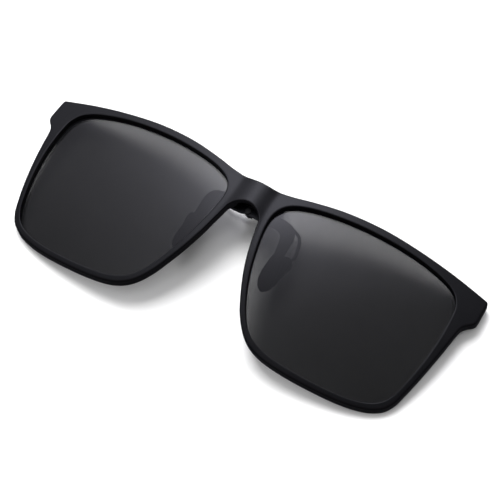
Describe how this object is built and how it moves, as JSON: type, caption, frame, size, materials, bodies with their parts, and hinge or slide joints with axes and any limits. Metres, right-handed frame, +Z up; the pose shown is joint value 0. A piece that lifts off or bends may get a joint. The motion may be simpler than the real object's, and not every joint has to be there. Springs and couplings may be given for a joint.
{
  "type": "clip on flip lenses",
  "caption": "Dark lenses in a matte black front that clips over spectacles by two sprung jaws and flips up on a bridge hinge.",
  "frame": {"origin": "centre of the object's footprint on the table, as it lies on its back, lenses up", "axes": "+X to the wearer's left along the front, +Y towards the brow, +Z up out of the lenses' front faces"},
  "size_m": [0.144, 0.0535, 0.0194],
  "materials": {
    "matte_black_frame": "fine matte",
    "smoke_lens": "polished dark grey tint",
    "black_rubber": "matte",
    "dark_metal": "dark satin",
    "steel_wire": "satin"
  },
  "bodies": {
    "rear_jaw": {"rear_jaw_plate": "dark_metal", "rear_wire_left": "steel_wire", "rear_wire_right": "steel_wire", "rear_boot_left": "black_rubber", "rear_boot_right": "black_rubber", "wire_ferrules": "dark_metal", "thumb_pad": "black_rubber", "pad_rivets": "steel_wire", "jaw_spring": "steel_wire"},
    "front_jaw": {"front_jaw_plate": "dark_metal", "front_boot_left": "black_rubber", "front_boot_right": "black_rubber", "jaw_pin": "steel_wire", "pin_clips": "dark_metal"},
    "front": {"front_frame": "matte_black_frame", "lens_left": "smoke_lens", "lens_right": "smoke_lens", "hinge_bracket": "dark_metal", "bracket_screws": "dark_metal", "flip_pin": "dark_metal", "detent_spring": "steel_wire", "hinge_washers": "steel_wire", "stop_bumper": "black_rubber"}
  },
  "joints": [
    {"name": "jaw_hinge", "type": "hinge", "parent": "rear_jaw", "child": "front_jaw", "pos_m": [0, 0.01649, 0.00739], "axis": [-1, 0, 0], "range_deg": [0, 20], "stiffness_Nm_per_rad": 0.04, "springref_deg": -34.38, "deforming": ["jaw_spring"]},
    {"name": "flip_hinge", "type": "hinge", "parent": "front_jaw", "child": "front", "pos_m": [0, 0.01707, 0.01304], "axis": [-1, 0, 0], "range_deg": [0, 90]}
  ]
}
